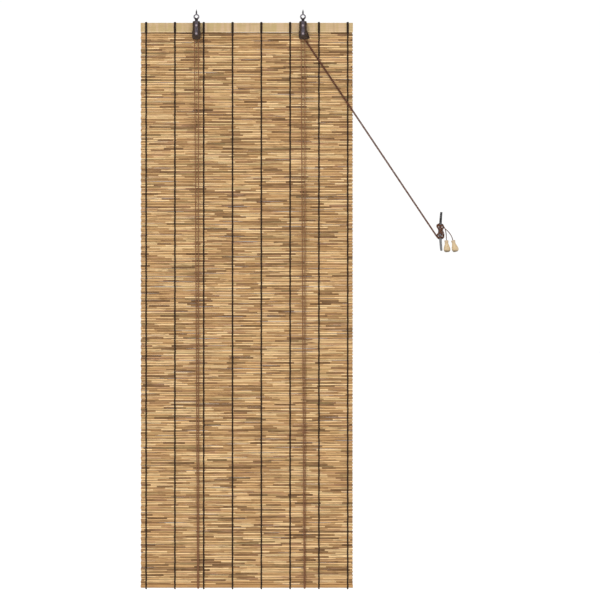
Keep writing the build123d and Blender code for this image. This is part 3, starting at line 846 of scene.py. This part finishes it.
class BLIND_OT_reeds(bpy.types.Operator):
    """Build the mat's stems, course by course"""

    bl_idname = "blind.reeds"
    bl_label = "Reeds"

    def execute(self, context):
        skin = reed_finish(chosen_colors())
        pith = pith_finish()
        step = chosen_sizes().reed_ring_step / MM
        wander = chosen_sizes().reed_wander / MM
        for course in range(REED_COURSES):
            shape = Shape()
            for number in range(course * REEDS_PER_COURSE, (course + 1) * REEDS_PER_COURSE):
                rings = reed_rings(number, step, wander)
                shape.rings(rings, capped=False, stem=float(number))
                hollow_end(shape, rings[0], 1, float(number))
                hollow_end(shape, rings[-1], -1, float(number))
            name = f"reeds_{course + 1:02d}"
            shape.piece(f"mat_{name}", [skin, pith], [name])
        return {"FINISHED"}


def warp_strand(x, way, number):
    """One yarn that goes over a stem, then under the next."""
    line = []
    reach = REED_RADIUS + YARN_LIFT
    for i in range((REED_COUNT + 2) * YARN_STEPS_PER_REED + 1):
        reeds = i / YARN_STEPS_PER_REED - 1
        z = REED_FIRST_Z - reeds * REED_PITCH
        swing = max(-1.0, min(1.0, YARN_FLATNESS * math.cos(math.pi * reeds)))
        sideways = YARN_WEAVE * math.sin(math.pi * reeds) * way
        sideways += YARN_STRAY * math.sin(reeds * 0.7 + number)
        line.append(Vector((x + sideways, MAT_Y - way * swing * reach, z)))
    return line


def batten_loop(x):
    """Closed line round the batten, drawn up a little above its top."""
    high = BATTEN_TOP + LOOP_RISE - LOOP_CORNER
    low = BATTEN_BOTTOM - LOOP_GAP + LOOP_CORNER
    out = BATTEN_HALF + LOOP_GAP - LOOP_CORNER
    line = []
    for quarter, (y, z) in enumerate([(out, high), (-out, high), (-out, low), (out, low)]):
        for i in range(LOOP_CORNER_STEPS + 1):
            angle = math.pi / 2 * (quarter + i / LOOP_CORNER_STEPS)
            y_now = MAT_Y + y + LOOP_CORNER * math.cos(angle)
            line.append(Vector((x, y_now, z + LOOP_CORNER * math.sin(angle))))
    return line


def stick_hoop(x):
    """Closed line round the bottom stick, leaning a little."""
    radius = ROD_RADIUS + HOOP_GAP
    line = []
    for i in range(HOOP_POINTS):
        angle = 2 * math.pi * i / HOOP_POINTS
        across, up = math.cos(angle), math.sin(angle)
        line.append(Vector((x + HOOP_LEAN * up, MAT_Y + radius * across, ROD_Z + radius * up)))
    return line


def knot(shape, centre, size, seed):
    """A small overhand knot: one closed trefoil of yarn."""
    luck = random.Random(seed)
    turn = luck.uniform(0, 2 * math.pi)
    line = []
    for i in range(KNOT_POINTS):
        t = 2 * math.pi * i / KNOT_POINTS
        reach = size * (0.42 + 0.18 * math.cos(3 * t))
        x, z = reach * math.cos(2 * t + turn), reach * math.sin(2 * t + turn)
        line.append(centre + Vector((x, 0.30 * size * math.sin(3 * t), z)))
    shape.tube(line, size * 0.36, size * 0.36, YARN_SIDES, closed=True)


class BLIND_OT_warp_cords(bpy.types.Operator):
    """Weave the black yarns through the mat"""

    bl_idname = "blind.warp_cords"
    bl_label = "Warp yarns"

    def execute(self, context):
        material = yarn_finish(chosen_colors())
        wide = chosen_sizes().yarn_half_width / MM
        deep = chosen_sizes().yarn_half_depth / MM
        for number in range(WARP_COUNT):
            x = WARP_FIRST_X + number * WARP_PITCH
            shape = Shape()
            for way in (1, -1):
                strand = warp_strand(x, way, number)
                loop = batten_loop(x + LOOPS_APART * way)
                hoop = stick_hoop(x + HOOPS_APART * way)
                shape.tube(strand, wide, deep, YARN_SIDES, wide=(1, 0, 0))
                shape.tube(loop, *LOOP_HALVES, YARN_SIDES, closed=True, wide=(1, 0, 0))
                shape.tube(hoop, *HOOP_HALVES, YARN_SIDES, closed=True, wide=(1, 0, 0))
            below_stick = Vector((x, MAT_Y, ROD_Z - ROD_RADIUS - LOW_KNOT_DROP))
            on_batten = Vector((x + HIGH_KNOT_ASIDE, HIGH_KNOT_Y, HIGH_KNOT_Z))
            knot(shape, below_stick, LOW_KNOT, number)
            knot(shape, on_batten, HIGH_KNOT, number + HIGH_KNOT_SEED)
            name = f"warp_yarn_{number + 1}"
            shape.piece(name, [material], [f"warp_cord_{number + 1}"])
        return {"FINISHED"}


class BLIND_OT_batten(bpy.types.Operator):
    """Finish the flat bamboo batten and the bottom stick"""

    bl_idname = "blind.batten"
    bl_label = "Batten and bottom stick"

    def execute(self, context):
        dress(slat_finish(chosen_colors()), "top_batten")
        dress(stick_finish(chosen_colors()), "bottom_rod")
        return {"FINISHED"}


# --- hardware ----------------------------------------------------------------------------------
class BLIND_OT_blocks(bpy.types.Operator):
    """Finish the pulley blocks' cheeks, straps, rivets and wheels"""

    bl_idname = "blind.blocks"
    bl_label = "Pulley blocks"

    def execute(self, context):
        steel = blackened_steel_finish(chosen_colors())
        strap = strap_steel_finish()
        rivet = rivet_finish()
        wheel = wheel_finish()
        dress(steel, "guide_pin")
        dress(rivet, "cord_eyelet")
        for side in SIDES:
            dress(steel, f"front_cheek_{side}", f"rear_cheek_{side}")
            dress(strap, f"hanger_strap_{side}")
            dress(rivet, f"clamp_rivet_{side}", f"axle_rivet_{side}", f"rivet_washer_{side}")
            dress(rivet, f"standoff_collar_{side}", f"strap_spacer_{side}")
            dress(wheel, f"pulley_wheel_{side}")
        return {"FINISHED"}


class BLIND_OT_screw_eyes(bpy.types.Operator):
    """Finish the screw eyes and cut their threads"""

    bl_idname = "blind.screw_eyes"
    bl_label = "Screw eyes"

    def execute(self, context):
        material = zinc_finish()
        pitch = chosen_sizes().thread_pitch / MM
        for side in SIDES:
            dress(material, f"screw_eye_{side}", f"rear_eye_{side}")
            low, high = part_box(f"screw_eye_{side}")
            x = (low.x + high.x) / 2 / MM
            top = high.z / MM
            line = []
            for i in range(int((top - THREAD_END_GAP) / pitch * THREAD_STEPS_PER_TURN)):
                z = THREAD_START_Z + pitch * i / THREAD_STEPS_PER_TURN
                radius = EYE_SHANK_RADIUS * min(1.0, (top - z) / SCREW_TAPER)
                angle = 2 * math.pi * i / THREAD_STEPS_PER_TURN
                line.append(Vector((x + radius * math.cos(angle), radius * math.sin(angle), z)))
            shape = Shape()
            shape.tube(line, THREAD_RADIUS, THREAD_RADIUS, THREAD_SIDES)
            shape.piece(f"screw_thread_{side}", [material])
        return {"FINISHED"}


class BLIND_OT_cleat(bpy.types.Operator):
    """Finish the wall cleat and its screws"""

    bl_idname = "blind.cleat"
    bl_label = "Wall cleat"

    def execute(self, context):
        dress(cleat_finish(chosen_colors()), "cleat")
        dress(zinc_finish(), "cleat_screws")
        return {"FINISHED"}


# --- cords -------------------------------------------------------------------------------------
class BLIND_OT_lift_cords(bpy.types.Operator):
    """Finish the cords that run round the mat, and their tied ends"""

    bl_idname = "blind.lift_cords"
    bl_label = "Lift cords"

    def execute(self, context):
        material = cord_finish("laid_cord_plain", chosen_colors(), True)
        for side in SIDES:
            dress(material, f"lift_cord_{side}", f"cord_tie_{side}")
        return {"FINISHED"}


# the pair's turns round the cleat, from its middle: right, back and up, in millimetres
TURNS = [
    (-6.8, 3.6, -18.8), (-1.0, 5.4, -20.8), (5.2, 4.6, -20.0), (9.4, 0.0, -13.0),
    (7.8, -5.0, -4.5), (3.6, -5.6, 5.5), (-0.6, -5.8, 14.5), (-6.6, -1.8, 19.4),
    (-4.0, 5.2, 21.2), (3.0, 5.6, 20.8), (8.6, 0.4, 17.0), (4.0, -6.4, 16.4),
    (-3.4, -6.6, 15.0), (-8.6, 0.0, 17.4), (-4.0, 7.8, 20.2), (4.0, 7.8, 19.4),
    (9.0, 0.0, 13.0), (5.0, -7.6, 5.6), (-4.0, -7.9, -4.2), (-9.4, -3.0, -9.6),
    (-8.4, 4.6, -16.6), (-2.0, 7.9, -20.2), (5.6, 7.0, -19.4), (8.6, 0.4, -18.0),
    (3.0, -6.6, -16.2), (-3.6, -6.6, -15.6), (-8.4, 0.0, -17.2), (-3.0, 9.8, -19.8),
    (5.6, 8.8, -18.8), (9.6, 0.4, -15.4), (6.0, -8.4, -10.0), (1.2, -9.6, -2.6),
    (-4.6, -9.0, 6.4), (-9.8, -5.2, 13.4), (-9.0, 3.4, 18.6), (-3.0, 9.8, 20.6),
    (5.4, 7.0, 19.6),
]
# each cord's loose end, from the same middle
TAILS = {
    "left": [
        (10.2, 1.6, 14.0), (13.6, 1.4, 6.5), (15.8, 0.2, -3.5), (16.5, -1.0, -14.0),
        (16.7, -1.4, -TASSEL_DROP),
    ],
    "right": [
        (10.2, -1.8, 9.6), (17.6, -2.4, 4.0), (25.0, -3.0, -3.8), (31.2, -3.2, -13.6),
        (35.2, -3.4, -TASSEL_DROP),
    ],
}


def beside(point, direction, reach):
    """The point moved square to a direction, in the plane of the mat."""
    step = reach / math.hypot(direction[0], direction[2])
    return Vector((point[0] - direction[2] * step, point[1], point[2] + direction[0] * step))


def cord_route(side):
    """Control points of one cord from the block to the knot in its tassel."""
    start = Vector(GUIDE_TURN)
    end = Vector(PULL_END)
    pull = (end - start).normalized()
    reach = PAIR_SIDE[side] * PAIR_STEP / 2
    route = [beside(start, pull, reach) + pull * EXIT_DISTANCE]
    route.append(beside(end, pull, reach) - pull * STRAIGHT_END)
    turns = [Vector(point) for point in TURNS]
    before = turns[0] - pull
    for point, after in zip(turns, turns[1:] + [Vector(TAILS[side][0])]):
        route.append(Vector(CLEAT) + beside(point, after - before, reach))
        before = point
    route += [Vector(CLEAT) + Vector(point) for point in TAILS[side]]
    tilt = math.radians(TASSEL_TILTS[side])
    down = Vector((math.sin(tilt), 0, -math.cos(tilt)))
    route.append(route[-1] + down * TASSEL_KNOT_DEPTH)
    return route


class BLIND_OT_pull_cords(bpy.types.Operator):
    """Lay the two pull cords from the block, round the cleat and into their tassels"""

    bl_idname = "blind.pull_cords"
    bl_label = "Pull cords"

    def execute(self, context):
        material = cord_finish("laid_cord", chosen_colors(), False)
        lay = chosen_sizes().cord_lay / MM
        for side in SIDES:
            line = smooth_line(f"pull_{side}", cord_route(side), CORD_SPACING)
            shape = Shape()
            laid_cord(shape, line, lay, STRANDS_TURNED[side])
            replaced = [f"pull_cord_{side}", f"cord_tail_{side}"]
            if side == "left":
                replaced.append("cord_winding")
            cord = shape.piece(f"pull_rope_{side}", [material], replaced)
            dress(material, f"tassel_knot_{side}")
            tuple(line[0] * MM)
            line_length(line) * MM
            [tuple(point * MM) for point in line]
        return {"FINISHED"}


class BLIND_OT_tassels(bpy.types.Operator):
    """Finish the two turned tassels"""

    bl_idname = "blind.tassels"
    bl_label = "Tassels"

    def execute(self, context):
        dress(turned_wood_finish(chosen_colors()), *[f"tassel_{side}" for side in SIDES])
        return {"FINISHED"}


# --- stage ----------------------------------------------------------------------------------
def soft_sun(name, direction, power, angle):
    """A broad distant light that comes from a direction."""
    light = bpy.data.lights.new(name, "SUN")
    light.energy = power
    light.angle = math.radians(angle)
    lamp = bpy.data.objects.new(name, light)
    lamp.location = direction
    lamp.rotation_mode = "QUATERNION"
    lamp.rotation_quaternion = Vector(direction).to_track_quat("Z", "Y")
    bpy.context.scene.collection.objects.link(lamp)


def studio_world():
    """White all round near the horizon, softer above and below."""
    world = bpy.data.worlds.new("studio")
    sky = Nodes(world)
    direction = sky.node("ShaderNodeTexCoord", output="Generated")
    rise = sky.node("ShaderNodeSeparateXYZ", None, {0: direction}, "Z").absolute()
    strength = sky.node("ShaderNodeMapRange", None, {0: rise, 1: 0.18, 2: 0.50, 3: 1.02, 4: 0.50})
    inputs = {"Color": (1.0, 1.0, 1.0, 1.0), "Strength": strength}
    background = sky.node("ShaderNodeBackground", None, inputs)
    sky.node("ShaderNodeOutputWorld", None, {"Surface": background})
    return world


class BLIND_OT_stage(bpy.types.Operator):
    """Set the floor, the soft lights and the camera"""

    bl_idname = "blind.stage"
    bl_label = "Stage"

    def execute(self, context):
        floor_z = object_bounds()[0].z - chosen_sizes().floor_drop
        signs = [(-1, -1), (1, -1), (1, 1), (-1, 1)]
        corners = [(x * FLOOR_HALF, y * FLOOR_HALF, floor_z) for x, y in signs]
        mesh = bpy.data.meshes.new("floor")
        mesh.from_pydata(corners, [], [(0, 1, 2, 3)])
        mesh.materials.append(floor_finish())
        floor = bpy.data.objects.new("floor", mesh)
        context.scene.collection.objects.link(floor)
        floor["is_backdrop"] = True

        context.scene.world = studio_world()
        soft_sun("key", (-1.0, -1.7, 2.3), 1.8, 14.0)
        soft_sun("fill", (2.4, -1.6, 1.0), 0.35, 40.0)
        soft_sun("back", (0.7, 2.2, 1.8), 1.1, 30.0)

        camera = bpy.data.objects.new("camera", bpy.data.cameras.new("camera"))
        camera.location = (CAMERA_X, -CAMERA_DISTANCE, CAMERA_Z)
        camera.rotation_euler = (math.pi / 2, 0.0, 0.0)
        camera.data.sensor_width = 36.0
        reach = CAMERA_DISTANCE + MAT_FACE_Y
        camera.data.lens = camera.data.sensor_width * reach / SHOWN_WIDTH
        camera.data.clip_end = 200.0
        context.scene.collection.objects.link(camera)
        context.scene.camera = camera
        context.scene.view_settings.view_transform = "Standard"
        return {"FINISHED"}


STEPS = (
    BLIND_OT_reeds,
    BLIND_OT_warp_cords,
    BLIND_OT_batten,
    BLIND_OT_blocks,
    BLIND_OT_screw_eyes,
    BLIND_OT_cleat,
    BLIND_OT_lift_cords,
    BLIND_OT_pull_cords,
    BLIND_OT_tassels,
    BLIND_OT_stage,
)


class BLIND_PT_build(bpy.types.Panel):
    """Lists the blind's sizes, colours and building steps"""

    bl_idname = "BLIND_PT_build"
    bl_label = "Reed roll-up blind"
    bl_space_type = "VIEW_3D"
    bl_region_type = "UI"
    bl_category = "Blind"

    def draw(self, context):
        layout = self.layout
        for group in (context.scene.blind_sizes, context.scene.blind_colors):
            box = layout.box()
            for key in group.bl_rna.properties.keys():
                if key not in ("rna_type", "name"):
                    box.prop(group, key)
        for step in STEPS:
            layout.operator(step.bl_idname)


CLASSES = (BlindSizes, BlindColors, *STEPS, BLIND_PT_build)


def register():
    for item in CLASSES:
        bpy.utils.register_class(item)
    bpy.types.Scene.blind_sizes = bpy.props.PointerProperty(type=BlindSizes)
    bpy.types.Scene.blind_colors = bpy.props.PointerProperty(type=BlindColors)


def unregister():
    del bpy.types.Scene.blind_colors
    del bpy.types.Scene.blind_sizes
    for item in reversed(CLASSES):
        bpy.utils.unregister_class(item)


def main():
    register()
    for step in STEPS:
        group, name = step.bl_idname.split(".")
        getattr(getattr(bpy.ops, group), name)()


if __name__ == "__main__":
    main()
